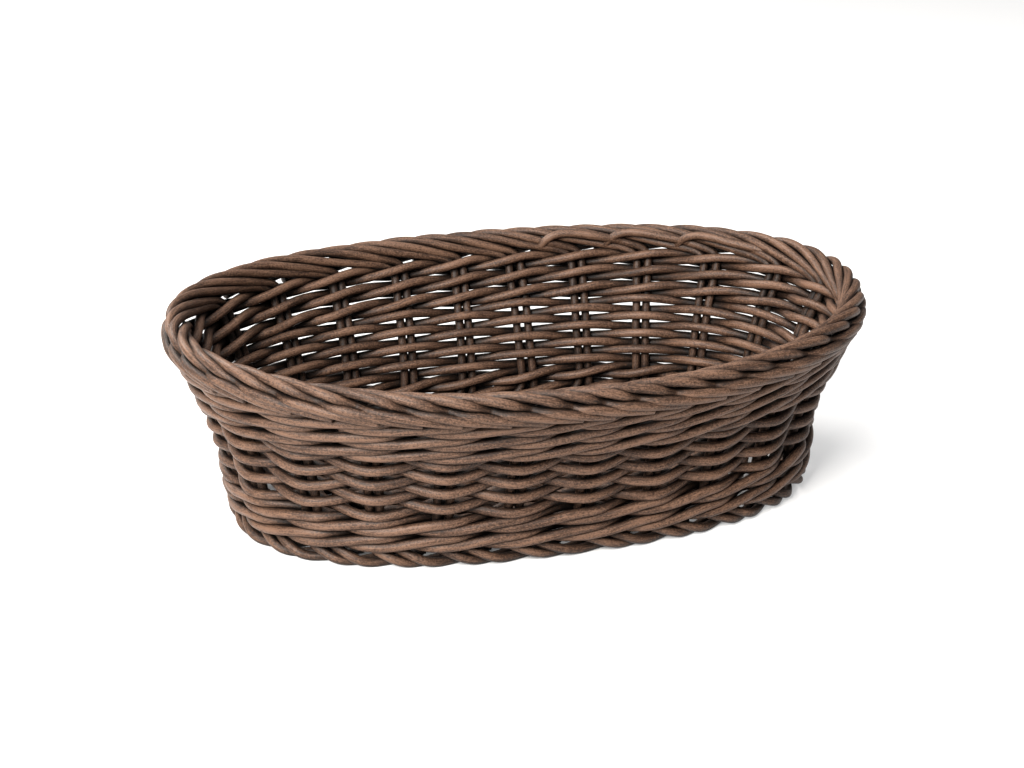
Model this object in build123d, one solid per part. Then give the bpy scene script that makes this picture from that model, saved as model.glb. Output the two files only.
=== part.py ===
from build123d import *
import math
import os

# An oval fruit basket woven from round plastic strands, in millimetres.
# +X runs along the long side, +Z is up, and the origin is the middle of the
# foot, on the surface that the basket stands on.

# ---------------------------------------------------------------- driving dimensions
RIM_LENGTH = 288.0        # between the middles of the rim border at the two ends
RIM_WIDTH = 198.0         # between the middles of the rim border at the two long sides
RIM_HEIGHT = 78.0         # middle of the rim border above the ground, on the long sides
RIM_RISE = 5.0            # how much higher the rim is at the two ends
END_FLARE = 22.0          # how far the wall leans outward at each end
SIDE_FLARE = 28.0         # how far the wall leans outward on each long side
CURL = 0.8                # share of the lean that comes only near the rim
RIM_FULLNESS = 2.15       # superellipse exponent of the rim, 2 is a true ellipse
FOOT_FULLNESS = 2.5       # superellipse exponent of the foot
FOOT_LEVEL = 3.8          # height of the middle of the foot border

STAKE = 3.4               # diameter of an upright strand
WEAVER = 3.8              # diameter of a woven strand
PLAY = 0.1                # gap between strands that pass each other

PAIRS = 24                # pairs of stakes around the wall
FIRST_PAIR = 0.2          # the first pair stands this share of a pitch past the +X end
PAIR_SPREAD = 0.08        # each stake of a pair stands this share of a pitch off its middle
HOLD = 0.17               # a weaver lies flat over this share of a pitch each side of a pair

FOOT_WALES = 2            # lines of three twisted strands at the foot of the wall
RANDING_ROWS = 8          # single strands above them, inside one pair and outside the next
RIM_WALES = 3             # lines of three twisted strands under the rim border

# ---------------------------------------------------------------- worked out from those
RIM_A = RIM_LENGTH / 2
RIM_B = RIM_WIDTH / 2
WALL_RISE = RIM_HEIGHT - FOOT_LEVEL
BESIDE_STAKE = (STAKE + WEAVER) / 2 + PLAY
ROW_PITCH = WEAVER + PLAY

# How far up the slope of the wall, from the middle of the foot, each line of weaving lies.
WALE_PITCH = 2.05 * WEAVER
FOOT_WALES_START = 7.8
RANDING_START = FOOT_WALES_START + (FOOT_WALES - 1) * WALE_PITCH + 1.6 * WEAVER
RIM_WALES_START = RANDING_START + (RANDING_ROWS - 1) * ROW_PITCH + 1.5 * WEAVER

CORNER_SHARE = 0.45       # share of the shorter run that a rounded corner uses up
LARGEST_BEND = 400.0      # a gentler corner than this radius is drawn with this radius
TABLE_STEPS = 1440
SLOPE_STEPS = 200
PROBE = 0.001


# ---------------------------------------------------------------- the shape of the wall
def oval(a, b, fullness, angle):
    """A point of the superellipse with half axes a and b."""
    across = math.cos(angle)
    along = math.sin(angle)
    x = a * math.copysign(abs(across) ** (2 / fullness), across)
    y = b * math.copysign(abs(along) ** (2 / fullness), along)
    return x, y


def spread(rise):
    """Share of the flare reached at a share of the wall's height, 0 at the foot, 1 at the rim."""
    return (1 - CURL) * rise + CURL * rise * rise


def section(rise):
    """Half axes and fullness of the wall at a share of its height."""
    a = RIM_A - END_FLARE * (1 - spread(rise))
    b = RIM_B - SIDE_FLARE * (1 - spread(rise))
    return a, b, FOOT_FULLNESS + (RIM_FULLNESS - FOOT_FULLNESS) * rise


def arc_lengths():
    """Length along the oval at half height, from angle 0 to each of the table's angles."""
    a, b, fullness = section(0.5)
    lengths = [0.0]
    last = oval(a, b, fullness, 0)
    for step in range(1, TABLE_STEPS + 1):
        here = oval(a, b, fullness, 2 * math.pi * step / TABLE_STEPS)
        lengths.append(lengths[-1] + math.dist(last, here))
        last = here
    return lengths


def slope_lengths():
    """Length up the slope of a long side, from the foot to each step of the wall's height."""
    lengths = [0.0]
    last = (0.0, 0.0)
    for step in range(1, SLOPE_STEPS + 1):
        rise = step / SLOPE_STEPS
        here = (SIDE_FLARE * spread(rise), WALL_RISE * rise)
        lengths.append(lengths[-1] + math.dist(last, here))
        last = here
    return lengths


LENGTHS = arc_lengths()
SLOPES = slope_lengths()
WALL_SLOPE = SLOPES[-1]


def place_in(table, target):
    """Where in a rising table a value lies, as a share of the table."""
    low = 0
    high = len(table) - 1
    while high - low > 1:
        middle = (low + high) // 2
        if table[middle] <= target:
            low = middle
        else:
            high = middle
    part = (target - table[low]) / (table[high] - table[low])
    return (low + part) / (len(table) - 1)


def station_angle(station):
    """Angle of a station. Stations count pitches of the stake pairs, evenly spaced round the wall."""
    turns = (station + FIRST_PAIR) / PAIRS
    whole = math.floor(turns)
    return 2 * math.pi * (whole + place_in(LENGTHS, (turns - whole) * LENGTHS[-1]))


def centre_line(angle, rise):
    """A point on the middle surface of the wall."""
    a, b, fullness = section(rise)
    x, y = oval(a, b, fullness, angle)
    return Vector(x, y, FOOT_LEVEL + rise * (WALL_RISE + RIM_RISE * (x / a) ** 2))


def outward(angle, rise):
    """Level direction straight out of the wall."""
    a, b, fullness = section(rise)
    x, y = oval(a, b, fullness, angle)
    normal_x = math.copysign(abs(x / a) ** (fullness - 1), x) / a
    normal_y = math.copysign(abs(y / b) ** (fullness - 1), y) / b
    return Vector(normal_x, normal_y, 0).normalized()


def leaning_point(station, rise, out, up):
    """A point out from the wall and up along its slope from a share of its height."""
    angle = station_angle(station)
    here = centre_line(angle, rise)
    level = outward(angle, rise)
    step = centre_line(angle, rise + PROBE) - here
    lean = Vector(level.X * step.dot(level), level.Y * step.dot(level), step.Z).normalized()
    square = Vector(level.X * lean.Z, level.Y * lean.Z, -lean.dot(level))
    return here + square * out + lean * up


def wall_point(station, climb, out):
    """A point at a station, climb up the slope from the middle of the foot, out from the wall."""
    return leaning_point(station, place_in(SLOPES, climb), out, 0)


def rim_point(station, out, up):
    """A point of the rim border, from the middle of the border."""
    return leaning_point(station, 1, out, up)


def foot_point(station, height, out):
    """A point of the foot border, height above the ground."""
    angle = station_angle(station)
    rise = (height - FOOT_LEVEL) / WALL_RISE
    here = centre_line(angle, rise)
    level = outward(angle, rise)
    return Vector(here.X + level.X * out, here.Y + level.Y * out, height)


# ---------------------------------------------------------------- strands
def strand(points, diameter):
    """A round strand along straight runs joined by tangent arcs."""
    radii = []
    for before, corner, after in zip(points, points[1:], points[2:]):
        turn = math.radians((corner - before).get_angle(after - corner))
        run = min((corner - before).length, (after - corner).length)
        radii.append(min(CORNER_SHARE * run / math.tan(turn / 2), LARGEST_BEND))
    path = FilletPolyline(*points, radius=radii)
    start = Plane(origin=path @ 0, z_dir=path % 0)
    return sweep(start * Circle(diameter / 2), path=path)


def save(name, *solids):
    """Write one node of the basket."""
    export_step(Compound(label=name, children=list(solids)), f"parts/{name}.step")


# ---------------------------------------------------------------- stakes
# A stake runs without a break from its end under the basket, round the foot,
# up the wall and through the rim border to its cut end. Each row of these
# lists is pitches along, then out and up in strand diameters. The leading
# stake of a pair enters both borders half a pitch ahead of the trailing one.
FOOT_BORDER = [
    (1.50, -1.45, 1.30),
    (1.20, -0.93, 0.62),
    (0.90, 0.00, 0.50),
    (0.68, 0.60, 0.50),
    (0.50, 1.05, 0.95),
    (0.30, 0.80, 1.60),
    (0.08, 0.22, 2.20),
]
RIM_BORDER = [
    (0.45, -0.85, -1.05),
    (0.85, -1.12, -0.20),
    (1.25, -0.75, 0.70),
    (1.65, 0.00, 1.15),
    (1.90, 0.45, 0.75),
    (2.10, 0.55, -0.05),
    (2.32, 1.05, -0.15),
    (2.60, 1.45, -0.25),
    (2.95, 1.50, -1.15),
    (3.25, 1.45, -1.40),
]
FOOT_LEAD = {"trailing": -0.12, "leading": 0.26}
RIM_LEAD = {"trailing": -0.12, "leading": 0.38}
STAKE_SIDE = {"trailing": -PAIR_SPREAD, "leading": PAIR_SPREAD}
STRAIGHT_FROM = 10.0      # the stakes follow the wall between these two heights
STRAIGHT_TO = 73.5
STRAIGHT_POINTS = 6


def stake(pair, side):
    """One stake of a pair, from its foot end to its rim end."""
    points = []
    for along, out, up in FOOT_BORDER:
        points.append(foot_point(pair + FOOT_LEAD[side] + along, up * STAKE, out * STAKE))
    for step in range(STRAIGHT_POINTS):
        climb = STRAIGHT_FROM + (STRAIGHT_TO - STRAIGHT_FROM) * step / (STRAIGHT_POINTS - 1)
        points.append(wall_point(pair + STAKE_SIDE[side], climb, 0))
    for along, out, up in RIM_BORDER:
        points.append(rim_point(pair + RIM_LEAD[side] + along, out * STAKE, up * STAKE))
    return strand(points, STAKE)


# Three short strands close the rim border where its last stakes meet its first.
# They come through under the border, loop inside it and are tucked back in.
CLOSING_PAIRS = [2, 3, 4]
CLOSING_PATH = [
    (-0.90, 0.30, -0.90),
    (-0.80, -0.50, -0.80),
    (-0.60, -1.30, -0.75),
    (-0.30, -1.80, -0.50),
    (0.00, -2.05, -0.10),
    (0.25, -2.00, 0.10),
    (0.45, -1.60, -0.60),
    (0.55, -0.60, -1.50),
]


def closing_strand(pair):
    """A short strand looped round the inner edge of the rim border."""
    points = []
    for along, out, up in CLOSING_PATH:
        points.append(rim_point(pair + along, out * STAKE, up * STAKE))
    return strand(points, STAKE)


# ---------------------------------------------------------------- wall weaving
def ring(first_station, corners, climb):
    """A strand once round the wall, with its two cut ends meeting behind a pair of stakes."""
    points = []
    for along, out, up in corners:
        points.append(wall_point(first_station + along, climb + up, out))
    return strand(points, WEAVER)


END_GAP = 0.02            # gap between the two cut ends of a ring, in pitches
SLIDE = 0.75              # a randing strand lies this much high inside a pair, as much low outside


def randing_corners():
    """Inside one pair, outside the next, starting and ending inside."""
    inside = (-BESIDE_STAKE, SLIDE)
    outside = (BESIDE_STAKE, -SLIDE)
    corners = [(END_GAP, *inside), (HOLD, *inside)]
    for pair in range(1, PAIRS):
        side = outside if pair % 2 else inside
        corners.append((pair - HOLD, *side))
        corners.append((pair + HOLD, *side))
    corners.append((PAIRS - HOLD, *inside))
    corners.append((PAIRS - END_GAP, *inside))
    return corners


# One repeat of a waling strand: outside two pairs and inside the third. It
# comes out low, under the strand before it, and goes in high, over the strand
# after it. Each row is pitches along, then out and up in strand diameters.
WALING_REPEAT = [
    (0.50, 0.00, -0.51),
    (0.83, 0.95, -0.53),
    (1.17, 1.08, -0.45),
    (1.50, 1.13, 0.00),
    (1.83, 1.08, 0.45),
    (2.17, 0.95, 0.53),
    (2.50, 0.00, 0.51),
    (2.83, -0.98, 0.26),
    (3.17, -0.98, -0.26),
]
WALING_STRANDS = 3


def waling_corners():
    """Outside two pairs and inside the third, all the way round, starting and ending inside."""
    corners = [(END_GAP, -0.98 * WEAVER, 0), (HOLD, -0.98 * WEAVER, -0.26 * WEAVER)]
    for start in range(0, PAIRS, WALING_STRANDS):
        for along, out, up in WALING_REPEAT:
            corners.append((start + along, out * WEAVER, up * WEAVER))
    corners.pop()
    corners.append((PAIRS - END_GAP, -0.98 * WEAVER, 0))
    return corners


def save_wales(name, lines, start):
    """The strands of some lines of waling, the lowest at start."""
    for line in range(lines):
        for partner in range(WALING_STRANDS):
            weaver = ring(9 * line + partner, waling_corners(), start + line * WALE_PITCH)
            save(f"{name}_{WALING_STRANDS * line + partner + 1}", weaver)


# ---------------------------------------------------------------- base
# The base is an oval mat. Spine rods lie side by side along its middle, below
# the cross rods, and fan out round both ends. Two long strands chase each
# other outward, each over the rods that the other goes under.
ROD = 3.4                 # diameter of the rods of the base
BASE_LEVEL = 10.5         # height of the middle of the mat
BASE_CORE = 50.0          # the fans start this far from the middle of the basket
CROSS_RODS = 4
CROSS_PITCH = 24.0
SPINE_RODS = 6
SPINE_PITCH = 3.9
SPINE_STRAIGHT = 40.0     # the spine rods are straight this far from the middle of the basket
FAN_STEP = 28.0           # degrees between the rods of a fan
FAN_BEND = 18.0           # distance from the fan's centre to where its rods are straight again
MAT_START = 17.5          # distance from the spine to the first turn of the mat
MAT_PITCH = 3.85
MAT_WEAVERS = 2
MAT_TURNS = 5
OVER_ROD = (ROD + WEAVER) / 2 + PLAY
WALL_HALF = 1.48 * WEAVER + PLAY


def reach_to_wall(x, angle):
    """Distance from a point of the long axis to the inner face of the wall, level with the mat."""
    a, b, fullness = section((BASE_LEVEL - FOOT_LEVEL) / WALL_RISE)
    low = 0.0
    high = RIM_A
    while high - low > PROBE:
        reach = (low + high) / 2
        along = abs(x + reach * math.cos(angle)) / (a - WALL_HALF)
        across = abs(reach * math.sin(angle)) / (b - WALL_HALF)
        if along ** fullness + across ** fullness < 1:
            low = reach
        else:
            high = reach
    return low


def fan_angle(index):
    """Direction of a spine rod in its fan, from the end of the basket, in radians."""
    return math.radians((index - (SPINE_RODS - 1) / 2) * FAN_STEP)


def fan_point(end, index, reach, height):
    """A point of a fanned rod. End is 1 at +X and -1 at -X."""
    angle = fan_angle(index)
    return Vector(end * (BASE_CORE + reach * math.cos(angle)), reach * math.sin(angle), height)


def spine_rod(index):
    """A rod along the middle of the mat, fanned out at both ends until it meets the wall."""
    reach = reach_to_wall(BASE_CORE, fan_angle(index))
    y = (index - (SPINE_RODS - 1) / 2) * SPINE_PITCH
    low = BASE_LEVEL - ROD - PLAY
    points = [
        fan_point(-1, index, reach, BASE_LEVEL),
        fan_point(-1, index, FAN_BEND, BASE_LEVEL),
        Vector(-SPINE_STRAIGHT, y, low),
        Vector(SPINE_STRAIGHT, y, low),
        fan_point(1, index, FAN_BEND, BASE_LEVEL),
        fan_point(1, index, reach, BASE_LEVEL),
    ]
    return strand(points, ROD)


def cross_x(index):
    """Where a cross rod lies along the basket."""
    return (index - (CROSS_RODS - 1) / 2) * CROSS_PITCH


def cross_rod(index):
    """A straight rod across the mat, from wall to wall."""
    reach = reach_to_wall(cross_x(index), math.pi / 2)
    start = Plane(origin=(cross_x(index), -reach, BASE_LEVEL), z_dir=(0, 1, 0))
    return extrude(start * Circle(ROD / 2), amount=2 * reach)


def ribs():
    """Every rod end of the mat, anticlockwise from the +X end, as a function of the reach."""
    ends = []
    for index in range(SPINE_RODS):
        ends.append(lambda reach, i=index: fan_point(1, i, reach, BASE_LEVEL))
    for index in reversed(range(CROSS_RODS)):
        ends.append(lambda reach, i=index: Vector(cross_x(i), reach, BASE_LEVEL))
    for index in reversed(range(SPINE_RODS)):
        ends.append(lambda reach, i=index: fan_point(-1, i, reach, BASE_LEVEL))
    for index in range(CROSS_RODS):
        ends.append(lambda reach, i=index: Vector(cross_x(i), -reach, BASE_LEVEL))
    return ends


def mat_weaver(order):
    """One of the two strands of the mat, over every second rod and under the others."""
    ends = ribs()
    count = len(ends)
    points = []
    for step in range(MAT_TURNS * count):
        reach = MAT_START + MAT_PITCH * (order + MAT_WEAVERS * step / count)
        before, here, after = (ends[(step + shift) % count](reach) for shift in (-1, 0, 1))
        lift = Vector(0, 0, OVER_ROD if (step + order) % 2 else -OVER_ROD)
        points.append(here + (before - here) * HOLD + lift)
        points.append(here + (after - here) * HOLD + lift)
    return strand(points, WEAVER)


def main():
    os.makedirs("parts", exist_ok=True)
    for pair in range(PAIRS):
        save(f"stake_pair_{pair + 1:02d}", stake(pair, "trailing"), stake(pair, "leading"))
    save("border_closing_strands", *[closing_strand(pair) for pair in CLOSING_PAIRS])
    for row in range(RANDING_ROWS):
        climb = RANDING_START + row * ROW_PITCH
        save(f"randing_weaver_{row + 1}", ring(5 * row, randing_corners(), climb))
    save_wales("foot_waling_weaver", FOOT_WALES, FOOT_WALES_START)
    save_wales("rim_waling_weaver", RIM_WALES, RIM_WALES_START)
    for index in range(SPINE_RODS):
        save(f"base_spine_rod_{index + 1}", spine_rod(index))
    for index in range(CROSS_RODS):
        save(f"base_cross_rod_{index + 1}", cross_rod(index))
    for order in range(MAT_WEAVERS):
        save(f"base_mat_weaver_{order + 1}", mat_weaver(order))


main()
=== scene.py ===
import math
import random

import bpy
import numpy as np
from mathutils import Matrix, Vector, noise


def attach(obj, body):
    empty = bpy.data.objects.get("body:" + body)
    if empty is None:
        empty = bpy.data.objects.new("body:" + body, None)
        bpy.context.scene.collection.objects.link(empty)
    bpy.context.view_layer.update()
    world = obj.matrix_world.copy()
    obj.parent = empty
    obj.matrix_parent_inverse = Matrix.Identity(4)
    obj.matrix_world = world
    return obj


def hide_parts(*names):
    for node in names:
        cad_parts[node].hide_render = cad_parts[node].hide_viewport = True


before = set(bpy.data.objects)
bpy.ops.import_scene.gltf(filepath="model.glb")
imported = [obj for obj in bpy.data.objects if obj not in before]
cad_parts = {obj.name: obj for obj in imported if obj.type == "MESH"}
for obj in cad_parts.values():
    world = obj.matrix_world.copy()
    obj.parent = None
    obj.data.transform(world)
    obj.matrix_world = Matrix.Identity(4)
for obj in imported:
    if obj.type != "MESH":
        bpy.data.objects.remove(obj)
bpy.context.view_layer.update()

# Woven fruit basket of round plastic strands, in metres. Every strand is a tube swept along
# a smooth curve that is steered by the same corners as the CAD strand it stands for.
MM = 0.001

# ---------------------------------------------------------------- the wall, as the CAD has it
RIM_LENGTH = 288 * MM     # between the middles of the rim border at the two ends
RIM_WIDTH = 198 * MM      # between the middles of the rim border at the two long sides
RIM_HEIGHT = 78 * MM      # middle of the rim border above the ground, on the long sides
RIM_RISE = 5 * MM         # how much higher the rim is at the two ends
END_FLARE = 22 * MM       # how far the wall leans outward at each end
SIDE_FLARE = 28 * MM      # how far the wall leans outward on each long side
CURL = 0.8                # share of the lean that comes only near the rim
RIM_FULLNESS = 2.15       # superellipse exponent of the rim, 2 is a true ellipse
FOOT_FULLNESS = 2.5       # superellipse exponent of the foot
FOOT_LEVEL = 3.8 * MM     # height of the middle of the foot border

STAKE = 3.4 * MM          # diameter of an upright strand
WEAVER = 3.8 * MM         # diameter of a woven strand
PLAY = 0.1 * MM           # gap between strands that pass each other
PAIRS = 24                # pairs of stakes around the wall
FIRST_PAIR = 0.2          # the first pair stands this share of a pitch past the +X end
PAIR_SPREAD = 0.08        # each stake of a pair stands this share of a pitch off its middle
HOLD = 0.17               # a weaver lies flat over this share of a pitch each side of a pair
FOOT_WALES = 2            # lines of three twisted strands at the foot of the wall
RANDING_ROWS = 8          # single strands above them, inside one pair and outside the next
RIM_WALES = 3             # lines of three twisted strands under the rim border

RIM_A = RIM_LENGTH / 2
RIM_B = RIM_WIDTH / 2
FOOT_A = RIM_A - END_FLARE
FOOT_B = RIM_B - SIDE_FLARE
WALL_RISE = RIM_HEIGHT - FOOT_LEVEL

# How far the middles of the strands are apart: a weaver from the stake it passes, a row of
# randing from the next, a line of waling from the next, and waling from randing.
BESIDE_STAKE = (STAKE + WEAVER) / 2 + PLAY
ROW_PITCH = WEAVER + PLAY
WALE_PITCH = 2.05 * WEAVER
WALE_TO_RANDING = 1.6 * WEAVER
RANDING_TO_WALE = 1.5 * WEAVER

# Where each band of weaving starts, up the slope of the wall from the middle of the foot border.
FOOT_WALES_START = 7.8 * MM
RANDING_START = FOOT_WALES_START + (FOOT_WALES - 1) * WALE_PITCH + WALE_TO_RANDING
RIM_WALES_START = RANDING_START + (RANDING_ROWS - 1) * ROW_PITCH + RANDING_TO_WALE

# ---------------------------------------------------------------- how real strands stray from that
BEDDED = 1.07             # woven strands bed into each other, so they are drawn this much thicker
BORDER_BEDDED = 1.14      # the stakes too, and more so, because they make up the tight borders
SWAY = 0.45 * MM          # how far a line of weaving wanders up and down the wall
SWAY_PITCHES = 2.5        # pitches along which it wanders
SWAY_RISE = 14 * MM       # rows closer together than this wander together
LOOSE = 0.14 * MM         # how far one weaver strays up and down from its neighbours
LOOSE_OUT = LOOSE / 2     # how far it strays in and out
LEAN_STRAY = 0.025        # how far a stake strays along the wall, in pitches
WAVER = LEAN_STRAY / 3    # how far it wavers on its way up, in pitches
RIM_STRAY = 0.05          # how far a strand strays along the rim border, in pitches
RIM_LOOSE = 0.25 * MM     # how far it strays from its line in the border
ROUND_STRAY = 0.035       # how much the thickness of a strand changes along it
ROUND_LENGTH = 11 * MM    # length along which it changes

# ---------------------------------------------------------------- how finely things are drawn
SIDES = 16                # corners of a strand's round section
STEP = 0.8 * MM           # distance between sections along a strand
CHAMFER = 0.25 * MM       # bevel at the edge of a cut end
SHARP_ANGLE = math.radians(55)    # an edge that turns more than this stays crisp
CURVE_STEPS = 12          # points worked out for each corner of a smooth line
TABLE_STEPS = 2880        # steps of the tables of lengths along the wall
HALFWAY = 0.5             # share of the wall's height where the stakes are evenly spaced
PROBE = 0.001             # share of the wall's height over which its slope is measured
OFF_LATTICE = 0.5         # noise is 0 wherever all its coordinates are whole, so one never is
SIDE_START = (0.31, 0.22, 0.92)   # a direction that no strand sets out in

dice = random.Random(24)


# ---------------------------------------------------------------- the shape of the wall
def oval(a, b, fullness, angle):
    """Points of the superellipse with half axes a and b."""
    across = np.cos(angle)
    along = np.sin(angle)
    x = a * np.sign(across) * np.abs(across) ** (2 / fullness)
    y = b * np.sign(along) * np.abs(along) ** (2 / fullness)
    return x, y


def spread(rise):
    """Share of the flare reached at a share of the wall's height, 0 at the foot, 1 at the rim."""
    return (1 - CURL) * rise + CURL * rise * rise


def section(rise):
    """Half axes and fullness of the wall's oval at a share of its height."""
    a = RIM_A - END_FLARE * (1 - spread(rise))
    b = RIM_B - SIDE_FLARE * (1 - spread(rise))
    return a, b, FOOT_FULLNESS + (RIM_FULLNESS - FOOT_FULLNESS) * rise


def arc_table():
    """Angles round the wall, and the length from angle 0 to each at half its height."""
    angles = np.linspace(0, 2 * math.pi, TABLE_STEPS + 1)
    x, y = oval(*section(HALFWAY), angles)
    steps = np.hypot(np.diff(x), np.diff(y))
    return angles, np.concatenate([[0], np.cumsum(steps)])


def slope_table():
    """Shares of the wall's height, and the length up the slope of a long side to each."""
    rises = np.linspace(0, 1, TABLE_STEPS + 1)
    steps = np.hypot(SIDE_FLARE * np.diff(spread(rises)), WALL_RISE * np.diff(rises))
    return rises, np.concatenate([[0], np.cumsum(steps)])


ANGLES, LENGTHS = arc_table()
RISES, SLOPES = slope_table()
PITCH = LENGTHS[-1] / PAIRS
WALL_SLOPE = SLOPES[-1]


def station_angle(station):
    """Angles of stations, which count pitches of the stake pairs anticlockwise round the wall."""
    turns = (station + FIRST_PAIR) / PAIRS
    whole = np.floor(turns)
    return np.interp((turns - whole) * LENGTHS[-1], LENGTHS, ANGLES) + 2 * math.pi * whole


def centre_line(angle, rise):
    """Points on the middle surface of the wall."""
    a, b, fullness = section(rise)
    x, y = oval(a, b, fullness, angle)
    z = FOOT_LEVEL + rise * (WALL_RISE + RIM_RISE * (x / a) ** 2)
    return np.stack([x, y, z + 0 * angle], axis=-1)


def unit(vectors):
    """The same directions with length 1."""
    return vectors / np.linalg.norm(vectors, axis=-1, keepdims=True)


def level_out(angle, rise):
    """Level directions straight out of the wall."""
    a, b, fullness = section(rise)
    x, y = oval(a, b, fullness, angle)
    normal_x = np.sign(x) * np.abs(x / a) ** (fullness - 1) / a
    normal_y = np.sign(y) * np.abs(y / b) ** (fullness - 1) / b
    return unit(np.stack([normal_x, normal_y, 0 * normal_x], axis=-1))


def wall_frame(station, climb):
    """Points of the wall's middle surface, with the directions square out of it and up its slope.

    Climb is a length up the slope from the middle of the foot border, taken on a long side.
    """
    angle = station_angle(station)
    rise = np.interp(climb, SLOPES, RISES)
    here = centre_line(angle, rise)
    level = level_out(angle, rise)
    step = centre_line(angle, rise + PROBE) - here
    lean = level * np.sum(level * step, axis=-1, keepdims=True)
    lean[..., 2] = step[..., 2]
    lean = unit(lean)
    square = level * lean[..., 2:]
    square[..., 2] = -np.sum(lean[..., :2] * level[..., :2], axis=-1)
    return here, square, lean


def foot_point(station, height, out):
    """A point of the foot border at a height above the ground, with the level direction out."""
    angle = station_angle(station)
    rise = (height - FOOT_LEVEL) / WALL_RISE
    here = centre_line(angle, rise)
    level = level_out(angle, rise)
    here = here + level * out[..., None]
    here[..., 2] = height
    return here, level


# ---------------------------------------------------------------- smooth lines
def smooth_line(corners, step):
    """Points at even steps along the smooth curve that the corners steer.

    The columns after the third are carried along with the points. The curve is a
    quadratic B-spline. It starts at the first corner and ends at the last, and touches
    the middle of every run between two of the others.
    """
    middles = (corners[1:-2] + corners[2:-1]) / 2
    starts = np.concatenate([corners[:1], middles])
    ends = np.concatenate([middles, corners[-1:]])
    part = np.linspace(0, 1, CURVE_STEPS, endpoint=False)[:, None]
    pieces = []
    for start, corner, end in zip(starts, corners[1:-1], ends):
        pieces.append((1 - part) ** 2 * start + 2 * part * (1 - part) * corner + part ** 2 * end)
    line = np.concatenate(pieces + [corners[-1:]])
    return even_steps(line, step)


def even_steps(line, step):
    """The same line with its points evenly spaced."""
    runs = np.linalg.norm(np.diff(line[:, :3], axis=0), axis=1)
    along = np.concatenate([[0], np.cumsum(runs)])
    count = max(2, int(round(along[-1] / step)) + 1)
    wanted = np.linspace(0, along[-1], count)
    return np.stack([np.interp(wanted, along, column) for column in line.T], axis=1)


def sway(station, climb):
    """How far the weaving has wandered up the wall here. Neighbouring rows wander together."""
    turn = 2 * math.pi * station / PAIRS
    reach = PAIRS / (2 * math.pi * SWAY_PITCHES)
    place = Vector((reach * math.cos(turn), reach * math.sin(turn), climb / SWAY_RISE))
    return SWAY * noise.noise(place)


# ---------------------------------------------------------------- strands as meshes
# All strands are cut from one endless grain. Each has its own place in it by a random shift
# along the strand, up to the range, and by the shift over each divisor across the strand.
GRAIN_RANGE = 90
GRAIN_DIVISORS = (7, 13)


def side_frames(points):
    """Three directions at every point of a line: along it, and two square to it and each other.

    The square ones turn as little as possible along the line, so that the tube has no twist.
    """
    tangents = unit(np.gradient(points, axis=0))
    side = np.cross(tangents[0], SIDE_START)
    side /= np.linalg.norm(side)
    sides = []
    for tangent in tangents:
        side = side - tangent * np.dot(side, tangent)
        side /= np.linalg.norm(side)
        sides.append(side)
    sides = np.array(sides)
    return tangents, sides, np.cross(tangents, sides)


def thickness(count, seed):
    """Factors on a strand's radius, one per section, slowly changing along it."""
    factors = []
    for index in range(count):
        place = Vector((index * STEP / ROUND_LENGTH, seed, OFF_LATTICE))
        factors.append(1 + ROUND_STRAY * noise.noise(place))
    return np.array(factors)


def tube_sections(count):
    """The sections of a tube along a line of so many points, with a bevel at the cut ends.

    Returns which point each section stands at, how far it is moved along the line from
    there and how much narrower it is. Both end points have two sections, the outer narrow.
    """
    order = np.concatenate([[0], np.arange(count), [count - 1]])
    shift = np.zeros(len(order))
    shift[1] = CHAMFER
    shift[-2] = -CHAMFER
    narrow = np.zeros(len(order))
    narrow[0] = CHAMFER
    narrow[-1] = CHAMFER
    return order, shift, narrow


def tube_faces(sections):
    """Four-sided faces between neighbouring sections, and one face at each end."""
    first = np.arange(sections - 1)[:, None] * SIDES + np.arange(SIDES)[None]
    right = np.arange(sections - 1)[:, None] * SIDES + (np.arange(SIDES)[None] + 1) % SIDES
    quads = np.stack([first, right, right + SIDES, first + SIDES], axis=-1)
    faces = quads.reshape(-1, 4).tolist()
    last = (sections - 1) * SIDES
    faces.append(list(range(SIDES))[::-1])
    faces.append(list(range(last, last + SIDES)))
    return faces


def tube(line, diameter):
    """Vertices, faces and surface facts of one round strand along a line.

    The line's last three columns point from the heart of the weaving to the strand. The facts
    are the place in the grain, how much the spot faces away from that heart, and the tone.
    """
    points = line[:, :3]
    away = line[:, 3:]
    seed = dice.uniform(0, GRAIN_RANGE)
    radius = diameter / 2 * thickness(len(points), seed)
    tangents, side, other = side_frames(points)
    order, shift, narrow = tube_sections(len(points))
    centres = points[order] + tangents[order] * shift[:, None]
    radii = radius[order] - narrow

    turn = np.linspace(0, 2 * math.pi, SIDES, endpoint=False)
    spokes = (side[order][:, None] * np.cos(turn)[None, :, None]
              + other[order][:, None] * np.sin(turn)[None, :, None])
    vertices = centres[:, None] + spokes * radii[:, None, None]

    proud = np.sum(spokes * away[order][:, None], axis=-1) / WEAVER
    run = np.arange(len(order)) * STEP
    place = np.stack([
        np.repeat(run[:, None], SIDES, axis=1) + seed,
        radii[:, None] * np.cos(turn)[None] + seed / GRAIN_DIVISORS[0],
        radii[:, None] * np.sin(turn)[None] + seed / GRAIN_DIVISORS[1],
    ], axis=-1)
    tone = np.full(len(order) * SIDES, dice.uniform(-1, 1))
    return vertices.reshape(-1, 3), tube_faces(len(order)), place.reshape(-1, 3), proud.reshape(-1), tone


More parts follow.
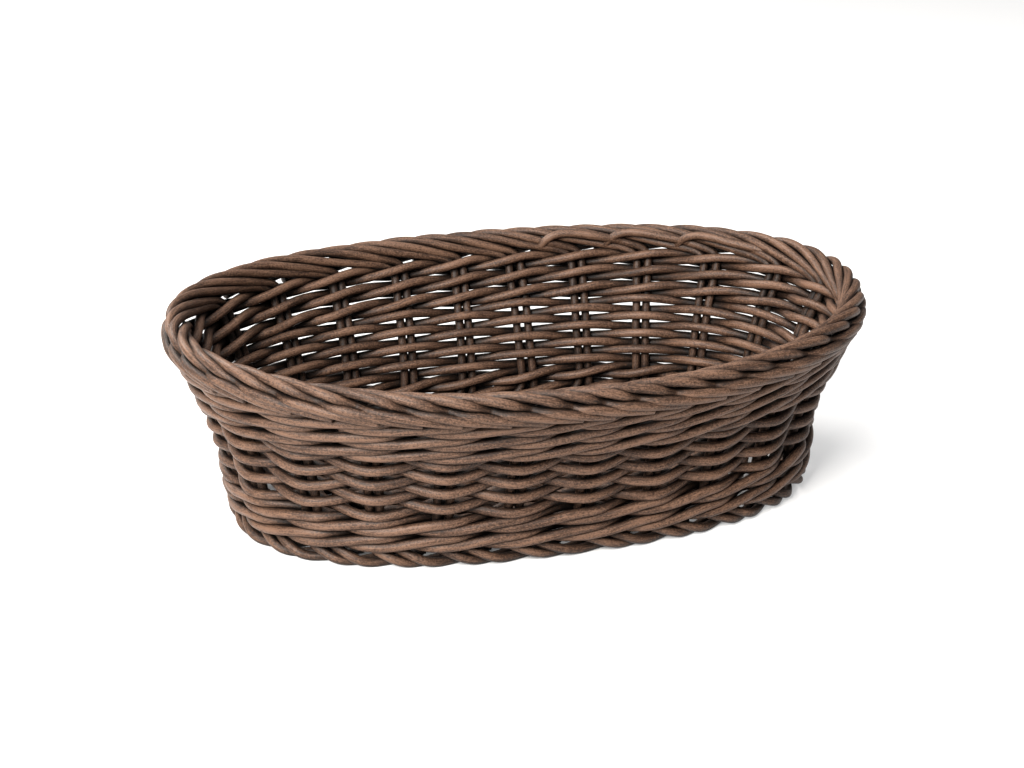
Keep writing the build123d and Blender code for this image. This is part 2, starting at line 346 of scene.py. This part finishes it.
def strand_piece(node, lines, diameter, slot):
    """One piece of the basket, made of one or more strands, in place of a CAD node."""
    tubes = [tube(line, diameter) for line in lines]
    vertices, tube_corners, places, prouds, tones = zip(*tubes)
    faces = []
    start = 0
    for points, corners in zip(vertices, tube_corners):
        faces.extend([[start + corner for corner in face] for face in corners])
        start += len(points)
    mesh = bpy.data.meshes.new(node)
    mesh.from_pydata(np.concatenate(vertices).tolist(), [], faces)
    place = mesh.attributes.new("strand_place", "FLOAT_VECTOR", "POINT")
    place.data.foreach_set("vector", np.concatenate(places).ravel())
    for name, values in (("proud", prouds), ("tone", tones)):
        attribute = mesh.attributes.new(name, "FLOAT", "POINT")
        attribute.data.foreach_set("value", np.concatenate(values))
    mesh.shade_smooth()
    mesh.set_sharp_from_angle(angle=SHARP_ANGLE)
    mesh.materials.append(MATERIALS[slot])
    piece = bpy.data.objects.new(node + "_strands", mesh)
    bpy.context.scene.collection.objects.link(piece)
    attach(piece, "root")
    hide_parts(node)
    return piece


# ---------------------------------------------------------------- materials
# Noise over the surface of a strand. The scale is per metre, and a stretch below 1 draws the
# noise out along the strand.
CLOUDS = {"stretch": 0.6, "scale": 90, "detail": 3, "roughness": 0.55}
GRAIN = {"stretch": 0.06, "scale": 1600, "detail": 4, "roughness": 0.6}
SPECKS = {"stretch": 0.7, "scale": 1900, "detail": 3, "roughness": 0.7}
NOISE_MIDDLE = 0.5

# How much each surface fact or noise adds to the shade of brown, the gloss and the relief.
# The proud share makes faces turned away from the heart of the weaving lighter and faces turned in
# darker. This is partly wear on the high spots and partly painted shade where the strands press
# together.
SHADE_SHARES = {"proud": 0.2, "tone": 0.08, "clouds": 0.75, "grain": 1.0, "specks": 2.0}
GLOSS_SHARES = {"grain": 0.8, "clouds": 0.6, "proud": 0.1}
RELIEF_SHARES = {"grain": 1.0, "specks": 0.8, "clouds": 0.3}

# Where the dark, the middle and the light brown lie on the scale of shades from 0 to 1.
DARK_SHADE = 0.12
MIDDLE_SHADE = 0.5
LIGHT_SHADE = 0.9

# Ambient occlusion that paints shade into the crevices between the strands, and how its result scales
# the brown.
CREVICE = {"samples": 4, "Distance": 6 * MM}
CREVICE_TO_PAINTED_SHADE = {"From_Min": 0.25, "From_Max": 0.88, "To_Min": 0.07, "To_Max": 1.15}
GLOSS_TO_ROUGHNESS = {"From_Min": -0.4, "From_Max": 0.4, "To_Min": 0.62, "To_Max": 0.42}
RELIEF = {"Strength": 0.7, "Distance": 0.22 * MM}
STRAND_SPECULAR = 0.2


def add_node(tree, kind, **settings):
    """A new node with its settings, which are its own properties or its inputs by name."""
    made = tree.nodes.new(kind)
    for name, value in settings.items():
        if hasattr(made, name):
            setattr(made, name, value)
        else:
            made.inputs[name.replace("_", " ")].default_value = value
    return made


def sum_of(tree, outputs, shares):
    """Adds up shares of the outputs with the same names."""
    total = None
    for name, share in shares.items():
        scaled = add_node(tree, "ShaderNodeMath", operation="MULTIPLY")
        tree.links.new(outputs[name], scaled.inputs[0])
        scaled.inputs[1].default_value = share
        if total is None:
            total = scaled.outputs[0]
            continue
        added = add_node(tree, "ShaderNodeMath", operation="ADD")
        tree.links.new(total, added.inputs[0])
        tree.links.new(scaled.outputs[0], added.inputs[1])
        total = added.outputs[0]
    return total


def strand_noise(tree, coordinates, stretch, scale, detail, roughness):
    """Noise in the strand's own space, centred on 0."""
    mapping = add_node(tree, "ShaderNodeMapping")
    mapping.inputs["Scale"].default_value = (scale * stretch, scale, scale)
    tree.links.new(coordinates, mapping.inputs["Vector"])
    texture = add_node(tree, "ShaderNodeTexNoise", Scale=1.0, Detail=detail, Roughness=roughness)
    tree.links.new(mapping.outputs[0], texture.inputs["Vector"])
    centred = add_node(tree, "ShaderNodeMath", operation="SUBTRACT")
    tree.links.new(texture.outputs["Fac"], centred.inputs[0])
    centred.inputs[1].default_value = NOISE_MIDDLE
    return centred.outputs[0]


def strand_material(name, dark, middle, light):
    """Matt brown extruded plastic with a fine grain along the strand, specks, worn high spots, and
    painted shade on the faces turned in and in the crevices.
    """
    material = bpy.data.materials.new(name)
    material.use_nodes = True
    tree = material.node_tree
    shader = tree.nodes["Principled BSDF"]

    place = add_node(tree, "ShaderNodeAttribute", attribute_name="strand_place").outputs["Vector"]
    outputs = {
        "proud": add_node(tree, "ShaderNodeAttribute", attribute_name="proud").outputs["Fac"],
        "tone": add_node(tree, "ShaderNodeAttribute", attribute_name="tone").outputs["Fac"],
        "clouds": strand_noise(tree, place, **CLOUDS),
        "grain": strand_noise(tree, place, **GRAIN),
        "specks": strand_noise(tree, place, **SPECKS),
    }

    shade = sum_of(tree, outputs, SHADE_SHARES)
    ramp = add_node(tree, "ShaderNodeValToRGB")
    centred = add_node(tree, "ShaderNodeMath", operation="ADD")
    tree.links.new(shade, centred.inputs[0])
    centred.inputs[1].default_value = MIDDLE_SHADE
    tree.links.new(centred.outputs[0], ramp.inputs["Fac"])
    ramp.color_ramp.elements[0].position = DARK_SHADE
    ramp.color_ramp.elements[0].color = (*dark, 1)
    ramp.color_ramp.elements[1].position = LIGHT_SHADE
    ramp.color_ramp.elements[1].color = (*light, 1)
    ramp.color_ramp.elements.new(MIDDLE_SHADE).color = (*middle, 1)

    # Ambient occlusion paints shade into the crevices between the strands, darkening them nearly to
    # black.
    crevice = add_node(tree, "ShaderNodeAmbientOcclusion", **CREVICE)
    painted_shade = add_node(tree, "ShaderNodeMapRange", **CREVICE_TO_PAINTED_SHADE)
    tree.links.new(crevice.outputs["AO"], painted_shade.inputs["Value"])
    darken = add_node(tree, "ShaderNodeVectorMath", operation="SCALE")
    tree.links.new(ramp.outputs["Color"], darken.inputs[0])
    tree.links.new(painted_shade.outputs["Result"], darken.inputs["Scale"])
    tree.links.new(darken.outputs[0], shader.inputs["Base Color"])

    gloss = add_node(tree, "ShaderNodeMapRange", **GLOSS_TO_ROUGHNESS)
    tree.links.new(sum_of(tree, outputs, GLOSS_SHARES), gloss.inputs["Value"])
    tree.links.new(gloss.outputs["Result"], shader.inputs["Roughness"])
    shader.inputs["Specular IOR Level"].default_value = STRAND_SPECULAR

    relief = add_node(tree, "ShaderNodeBump", **RELIEF)
    tree.links.new(sum_of(tree, outputs, RELIEF_SHARES), relief.inputs["Height"])
    tree.links.new(relief.outputs["Normal"], shader.inputs["Normal"])
    return material


# The dark, middle and light brown of each kind of strand.
BROWNS = {
    "stake_strand": ((0.0052, 0.0025, 0.0014), (0.031, 0.0158, 0.0095), (0.100, 0.0555, 0.0355)),
    "weaver_strand": ((0.0056, 0.0027, 0.0016), (0.035, 0.0178, 0.0107), (0.108, 0.0600, 0.0385)),
    "base_strand": ((0.0048, 0.0023, 0.0013), (0.027, 0.0138, 0.0083), (0.080, 0.0445, 0.0285)),
}
MATERIALS = {slot: strand_material(slot, *browns) for slot, browns in BROWNS.items()}


# ---------------------------------------------------------------- stakes
# Corners of a stake's line in the borders. Rows are pitches along, then out and up in strand
# diameters: level from the wall and up from the ground at the foot, square out of the wall and
# up its slope from the top of the wall at the rim.
FOOT_BORDER = [
    (1.50, -1.45, 1.30),
    (1.20, -0.93, 0.62),
    (0.90, 0.00, 0.50),
    (0.68, 0.60, 0.50),
    (0.50, 1.05, 0.95),
    (0.30, 0.80, 1.60),
    (0.08, 0.22, 2.20),
]
RIM_BORDER = [
    (0.45, -0.85, -1.05),
    (0.85, -1.12, -0.20),
    (1.20, -0.90, 0.70),
    (1.55, -0.10, 1.25),
    (1.85, 0.50, 0.95),
    (2.03, 0.30, -0.10),
    (2.13, 0.35, -0.45),
    (2.22, 0.95, -0.20),
    (2.40, 1.35, 0.00),
    (2.75, 1.55, -0.45),
    (3.05, 1.50, -1.05),
    (3.30, 1.40, -1.35),
]
FOOT_HEART = 1.2          # height of the heart of the foot border, in strand diameters

# How far along each stake of a pair stands from the middle of the pair, in pitches, at the
# foot border, up the wall and at the rim border.
FOOT_LEAD = {"trailing": -0.12, "leading": 0.26}
STAKE_SIDE = {"trailing": -PAIR_SPREAD, "leading": PAIR_SPREAD}
RIM_LEAD = {"trailing": -0.12, "leading": 0.38}

# Corners between the borders, evenly spaced up the slope.
STRAIGHT_START = 10 * MM
STRAIGHT_END = 73.5 * MM
STRAIGHT_CORNERS = 6


def stake_line(pair, side):
    """The line of one stake, from its foot end to its rim end."""
    rows = []
    for along, out, up in FOOT_BORDER:
        station = pair + FOOT_LEAD[side] + along
        point, level = foot_point(np.array(station), np.array(up * STAKE), np.array(out * STAKE))
        away = level * out * STAKE
        away[2] = (up - FOOT_HEART) * STAKE
        rows.append([*point, *away])
    stray = dice.uniform(-LEAN_STRAY, LEAN_STRAY)
    for climb in np.linspace(STRAIGHT_START, STRAIGHT_END, STRAIGHT_CORNERS):
        station = pair + STAKE_SIDE[side] + stray + dice.uniform(-WAVER, WAVER)
        here, _, _ = wall_frame(np.array(station), np.array(climb))
        rows.append([*here, 0, 0, 0])
    rows.extend(rim_rows(pair + RIM_LEAD[side], RIM_BORDER))
    return smooth_line(np.array(rows), STEP)


def rim_rows(station, path):
    """Corner rows of a path along the rim border from a station, a little astray."""
    stray = dice.uniform(-RIM_STRAY, RIM_STRAY)
    rows = []
    for along, out, up in path:
        here, square, lean = wall_frame(np.array(station + along + stray), np.array(WALL_SLOPE))
        off = dice.uniform(-RIM_LOOSE, RIM_LOOSE)
        rise = dice.uniform(-RIM_LOOSE, RIM_LOOSE)
        away = square * (out * STAKE + off) + lean * (up * STAKE + rise)
        rows.append([*(here + away), *away])
    return rows


# The short strands that close the rim border, one at each of these pairs, and the corners of
# their line in the same measures as the border's.
CLOSING_PAIRS = [2, 3, 4]
CLOSING_PATH = [
    (-0.90, 0.30, -0.90),
    (-0.80, -0.50, -0.80),
    (-0.60, -1.30, -0.75),
    (-0.30, -1.80, -0.50),
    (0.00, -2.05, -0.10),
    (0.25, -2.00, 0.10),
    (0.45, -1.60, -0.60),
    (0.55, -0.60, -1.50),
]


def closing_line(pair):
    """The line of a short strand looped round the inner edge of the rim border."""
    return smooth_line(np.array(rim_rows(pair, CLOSING_PATH)), STEP)


# ---------------------------------------------------------------- wall weaving
END_GAP = -0.012          # the two cut ends of a ring are pressed into each other, in pitches
SLIDE = 0.75 * MM         # a randing strand lies this much high inside a pair, as much low outside
ROW_SHIFT = 5             # each row of randing starts this many pairs on from the row below
WALE_SHIFT = 9            # each line of waling starts this many pairs on from the line below


def ring_line(first_station, corners, climb):
    """The line of a strand once round the wall, from corners in pitches along, metres out and up."""
    rows = []
    for along, out, up in corners:
        station = first_station + along
        level = climb + up + sway(station, climb) + dice.uniform(-LOOSE, LOOSE)
        rows.append([station * PITCH, out + dice.uniform(-LOOSE_OUT, LOOSE_OUT), level])
    line = smooth_line(np.array(rows), STEP / 2)
    here, square, _ = wall_frame(line[:, 0] / PITCH, line[:, 2])
    away = square * line[:, 1:2]
    return even_steps(np.concatenate([here + away, away], axis=1), STEP)


def randing_corners():
    """Inside one pair, outside the next, starting and ending inside."""
    inside = (-BESIDE_STAKE, SLIDE)
    outside = (BESIDE_STAKE, -SLIDE)
    corners = [(END_GAP, *inside), (HOLD, *inside)]
    for pair in range(1, PAIRS):
        side = outside if pair % 2 else inside
        corners.append((pair - HOLD, *side))
        corners.append((pair + HOLD, *side))
    corners.append((PAIRS - HOLD, *inside))
    corners.append((PAIRS - END_GAP, *inside))
    return corners


# One repeat of a waling strand: outside two pairs and inside the third. It comes out low, under
# the strand before it, and goes in high, over the strand after it. Rows are pitches along, then
# out and up in strand diameters.
WALE_INSIDE = -0.98
WALE_TILT = 0.26
WALING_REPEAT = [
    (0.50, 0.00, -0.51),
    (0.83, 0.95, -0.53),
    (1.17, 1.08, -0.45),
    (1.50, 1.13, 0.00),
    (1.83, 1.08, 0.45),
    (2.17, 0.95, 0.53),
    (2.50, 0.00, 0.51),
    (2.83, WALE_INSIDE, WALE_TILT),
    (3.17, WALE_INSIDE, -WALE_TILT),
]
WALING_STRANDS = 3        # strands of a line, and pairs of stakes that one repeat passes


def waling_corners():
    """Outside two pairs and inside the third, all the way round, starting and ending inside."""
    inside = WALE_INSIDE * WEAVER
    corners = [(END_GAP, inside, 0), (HOLD, inside, -WALE_TILT * WEAVER)]
    for start in range(0, PAIRS, WALING_STRANDS):
        for along, out, up in WALING_REPEAT:
            corners.append((start + along, out * WEAVER, up * WEAVER))
    corners.pop()
    corners.append((PAIRS - END_GAP, inside, 0))
    return corners


def build_wales(name, lines, start):
    """The strands of some lines of waling, the lowest at start."""
    for level in range(lines):
        for partner in range(WALING_STRANDS):
            first = WALE_SHIFT * level + partner
            line = ring_line(first, waling_corners(), start + level * WALE_PITCH)
            node = f"{name}_{WALING_STRANDS * level + partner + 1}"
            strand_piece(node, [line], WEAVER * BEDDED, "weaver_strand")


# ---------------------------------------------------------------- base
ROD = 3.4 * MM            # diameter of a rod
BASE_LEVEL = 10.5 * MM    # height of the middle of the mat
BASE_CORE = 50 * MM       # each fan of rods spreads from this far along, on the long axis
CROSS_RODS = 4
CROSS_PITCH = 24 * MM     # between neighbouring cross rods
CROSS_CORNERS = (-1, -0.4, 0.4, 1)    # corners of a cross rod, in shares of its reach
SPINE_RODS = 6
SPINE_PITCH = 3.9 * MM    # between neighbouring spine rods, where they lie side by side
SPINE_STRAIGHT = 40 * MM  # how far they lie side by side, each way from the middle
FAN_STEP = 28.0           # angle between neighbouring rods of a fan, in degrees
FAN_BEND = 18 * MM        # how far out in the fan a rod takes its own direction
MAT_START = 17.5 * MM     # reach of the innermost turn of the mat, out from the core
MAT_PITCH = 3.85 * MM     # between neighbouring turns
MAT_WEAVERS = 2
MAT_TURNS = 5             # turns of each of the two weavers
OVER_ROD = (ROD + WEAVER) / 2 + PLAY
WALL_HALF = 1.48 * WEAVER + PLAY      # from the wall's middle surface to its inner face
REACH_STEPS = 2000        # steps in which the way to the wall is tried


def reach_to_wall(x, angle):
    """Distance from a point of the long axis to the inner face of the wall, level with the mat."""
    a, b, fullness = section((BASE_LEVEL - FOOT_LEVEL) / WALL_RISE)
    reach = np.linspace(0, RIM_A, REACH_STEPS)
    along = np.abs(x + reach * math.cos(angle)) / (a - WALL_HALF)
    across = np.abs(reach * math.sin(angle)) / (b - WALL_HALF)
    return reach[along ** fullness + across ** fullness < 1].max()


def fan_angle(index):
    """Direction of a spine rod in its fan, from the end of the basket, in radians."""
    return math.radians((index - (SPINE_RODS - 1) / 2) * FAN_STEP)


def rod_line(points):
    """The line of a rod. The weaving goes round it, so it is itself the heart of the weaving."""
    rows = np.concatenate([np.array(points), np.zeros((len(points), 3))], axis=1)
    return smooth_line(rows, STEP)


def fan_point(end, index, reach, height):
    """A point of a fanned rod. End is 1 at +X and -1 at -X."""
    angle = fan_angle(index)
    return np.array([end * (BASE_CORE + reach * math.cos(angle)), reach * math.sin(angle), height])


def spine_line(index):
    """The line of a rod along the middle of the mat, fanned out at both ends until it meets the wall."""
    reach = reach_to_wall(BASE_CORE, fan_angle(index))
    y = (index - (SPINE_RODS - 1) / 2) * SPINE_PITCH
    low = BASE_LEVEL - ROD - PLAY
    points = [
        fan_point(-1, index, reach, BASE_LEVEL),
        fan_point(-1, index, FAN_BEND, BASE_LEVEL),
        np.array([-SPINE_STRAIGHT, y, low]),
        np.array([SPINE_STRAIGHT, y, low]),
        fan_point(1, index, FAN_BEND, BASE_LEVEL),
        fan_point(1, index, reach, BASE_LEVEL),
    ]
    return rod_line(points)


def cross_x(index):
    """Where a cross rod lies along the basket."""
    return (index - (CROSS_RODS - 1) / 2) * CROSS_PITCH


def cross_line(index):
    """The line of a straight rod across the mat, from wall to wall."""
    reach = reach_to_wall(cross_x(index), math.pi / 2)
    points = [np.array([cross_x(index), share * reach, BASE_LEVEL]) for share in CROSS_CORNERS]
    return rod_line(points)


def rib_point(rib, reach):
    """A point on one of the rod ends of the mat, counted anticlockwise from the +X end."""
    if rib < SPINE_RODS:
        return fan_point(1, rib, reach, BASE_LEVEL)
    rib -= SPINE_RODS
    if rib < CROSS_RODS:
        return np.array([cross_x(CROSS_RODS - 1 - rib), reach, BASE_LEVEL])
    rib -= CROSS_RODS
    if rib < SPINE_RODS:
        return fan_point(-1, SPINE_RODS - 1 - rib, reach, BASE_LEVEL)
    rib -= SPINE_RODS
    return np.array([cross_x(rib), -reach, BASE_LEVEL])


def mat_line(order):
    """The line of one of the two strands of the mat, over every second rod and under the others."""
    count = 2 * (SPINE_RODS + CROSS_RODS)
    rows = []
    for step in range(MAT_TURNS * count):
        reach = MAT_START + MAT_PITCH * (order + MAT_WEAVERS * step / count)
        before, here, after = (rib_point((step + shift) % count, reach) for shift in (-1, 0, 1))
        up = OVER_ROD if (step + order) % 2 else -OVER_ROD
        for side in (before, after):
            point = here + (side - here) * HOLD
            rows.append([point[0], point[1], point[2] + up, 0, 0, up])
    return smooth_line(np.array(rows), STEP)


# ---------------------------------------------------------------- the basket
def build_basket():
    """All its pieces, one for every CAD node."""
    for pair in range(PAIRS):
        lines = [stake_line(pair, side) for side in ("trailing", "leading")]
        strand_piece(f"stake_pair_{pair + 1:02d}", lines, STAKE * BORDER_BEDDED, "stake_strand")
    lines = [closing_line(pair) for pair in CLOSING_PAIRS]
    strand_piece("border_closing_strands", lines, STAKE * BORDER_BEDDED, "stake_strand")
    for row in range(RANDING_ROWS):
        line = ring_line(ROW_SHIFT * row, randing_corners(), RANDING_START + row * ROW_PITCH)
        strand_piece(f"randing_weaver_{row + 1}", [line], WEAVER * BEDDED, "weaver_strand")
    build_wales("foot_waling_weaver", FOOT_WALES, FOOT_WALES_START)
    build_wales("rim_waling_weaver", RIM_WALES, RIM_WALES_START)
    for index in range(SPINE_RODS):
        strand_piece(f"base_spine_rod_{index + 1}", [spine_line(index)], ROD, "base_strand")
    for index in range(CROSS_RODS):
        strand_piece(f"base_cross_rod_{index + 1}", [cross_line(index)], ROD, "base_strand")
    for order in range(MAT_WEAVERS):
        strand_piece(f"base_mat_weaver_{order + 1}", [mat_line(order)], WEAVER, "base_strand")


# ---------------------------------------------------------------- floor
FLOOR_HALF = 6.0          # half the side of the floor, in metres
FLOOR_GREY = 0.5
FLOOR_ROUGHNESS = 0.16
FLOOR_SPECULAR = 0.3
FOOT_TO_GLOW = {"From_Min": 1.0, "From_Max": 1.08, "To_Min": 0.0, "To_Max": 0.42}


def build_floor():
    """A large pale floor with a faint gloss. It glows a little, but not under the basket."""
    mesh = bpy.data.meshes.new("floor")
    corners = [(x * FLOOR_HALF, y * FLOOR_HALF, 0) for x, y in ((-1, -1), (1, -1), (1, 1), (-1, 1))]
    mesh.from_pydata(corners, [], [(0, 1, 2, 3)])
    floor = bpy.data.objects.new("floor", mesh)
    bpy.context.scene.collection.objects.link(floor)
    material = bpy.data.materials.new("floor")
    material.use_nodes = True
    tree = material.node_tree
    shader = tree.nodes["Principled BSDF"]
    shader.inputs["Base Color"].default_value = (FLOOR_GREY, FLOOR_GREY, FLOOR_GREY, 1)
    shader.inputs["Emission Color"].default_value = (1, 1, 1, 1)

    # Reach is 1 along an ellipse through the ends and sides of the foot. The glow starts there.
    place = add_node(tree, "ShaderNodeTexCoord").outputs["Object"]
    shares = add_node(tree, "ShaderNodeVectorMath", operation="MULTIPLY")
    tree.links.new(place, shares.inputs[0])
    shares.inputs[1].default_value = (1 / FOOT_A, 1 / FOOT_B, 0)
    reach = add_node(tree, "ShaderNodeVectorMath", operation="LENGTH")
    tree.links.new(shares.outputs[0], reach.inputs[0])
    glow = add_node(tree, "ShaderNodeMapRange", **FOOT_TO_GLOW)
    tree.links.new(reach.outputs["Value"], glow.inputs["Value"])
    tree.links.new(glow.outputs["Result"], shader.inputs["Emission Strength"])
    shader.inputs["Roughness"].default_value = FLOOR_ROUGHNESS
    shader.inputs["Specular IOR Level"].default_value = FLOOR_SPECULAR
    mesh.materials.append(material)


# ---------------------------------------------------------------- light
# Place, side of the square in metres, power in watts and colour of every lamp.
WARM_WHITE = (1, 0.97, 0.93)
WHITE = (1, 1, 1)
LAMPS = {
    "key_light": ((-0.95, -0.95, 1.05), 0.8, 92, WARM_WHITE),
    "back_light": ((-0.7, 0.9, 0.95), 0.5, 26, WARM_WHITE),
    "top_light": ((0.2, 0.1, 1.5), 1.3, 14, WHITE),
}
LAMP_TARGET = (0, 0, 0.04)
ROOM_STRENGTH = 0.27


def aim(thing, place, target):
    """Puts a light or camera in its place, looking at a point."""
    thing.location = place
    thing.rotation_euler = (Vector(target) - Vector(place)).to_track_quat("-Z", "Y").to_euler()


def area_light(name, place, size, watts, colour):
    """A soft square light aimed at the basket."""
    lamp = bpy.data.lights.new(name, "AREA")
    lamp.size = size
    lamp.energy = watts
    lamp.color = colour
    light = bpy.data.objects.new(name, lamp)
    bpy.context.scene.collection.objects.link(light)
    aim(light, place, LAMP_TARGET)


def build_light():
    """Soft studio light: a white room, a key light at the front left, one behind and one above."""
    world = bpy.data.worlds.new("studio")
    bpy.context.scene.world = world
    world.use_nodes = True
    background = world.node_tree.nodes["Background"]
    background.inputs["Color"].default_value = (*WHITE, 1)
    background.inputs["Strength"].default_value = ROOM_STRENGTH
    for name, settings in LAMPS.items():
        area_light(name, *settings)
    bpy.context.scene.view_settings.view_transform = "Standard"


# ---------------------------------------------------------------- camera
TURN = math.radians(15.3)         # the camera stands this far round to the left of the front
LOOK_DOWN = math.radians(22.2)    # it looks down by this much
DISTANCE = 0.803                  # from the point it looks at, in metres
TARGET = (0, 0, 0.0456)           # the point it looks at, in the middle of the basket
FOCAL_LENGTH = 65.7               # in mm
SENSOR_WIDTH = 36                 # in mm
SHIFT = -0.0082                   # of the view sideways, in sensor widths


def build_camera():
    """A camera in front, a little to the left, looking down into the basket."""
    lens = bpy.data.cameras.new("camera")
    lens.lens = FOCAL_LENGTH
    lens.sensor_width = SENSOR_WIDTH
    lens.shift_x = SHIFT
    camera = bpy.data.objects.new("camera", lens)
    bpy.context.scene.collection.objects.link(camera)
    level = DISTANCE * math.cos(LOOK_DOWN)
    place = (
        TARGET[0] - level * math.sin(TURN),
        TARGET[1] - level * math.cos(TURN),
        TARGET[2] + DISTANCE * math.sin(LOOK_DOWN),
    )
    aim(camera, place, TARGET)
    bpy.context.scene.camera = camera


build_basket()
build_floor()
build_light()
build_camera()

bpy.context.view_layer.update()
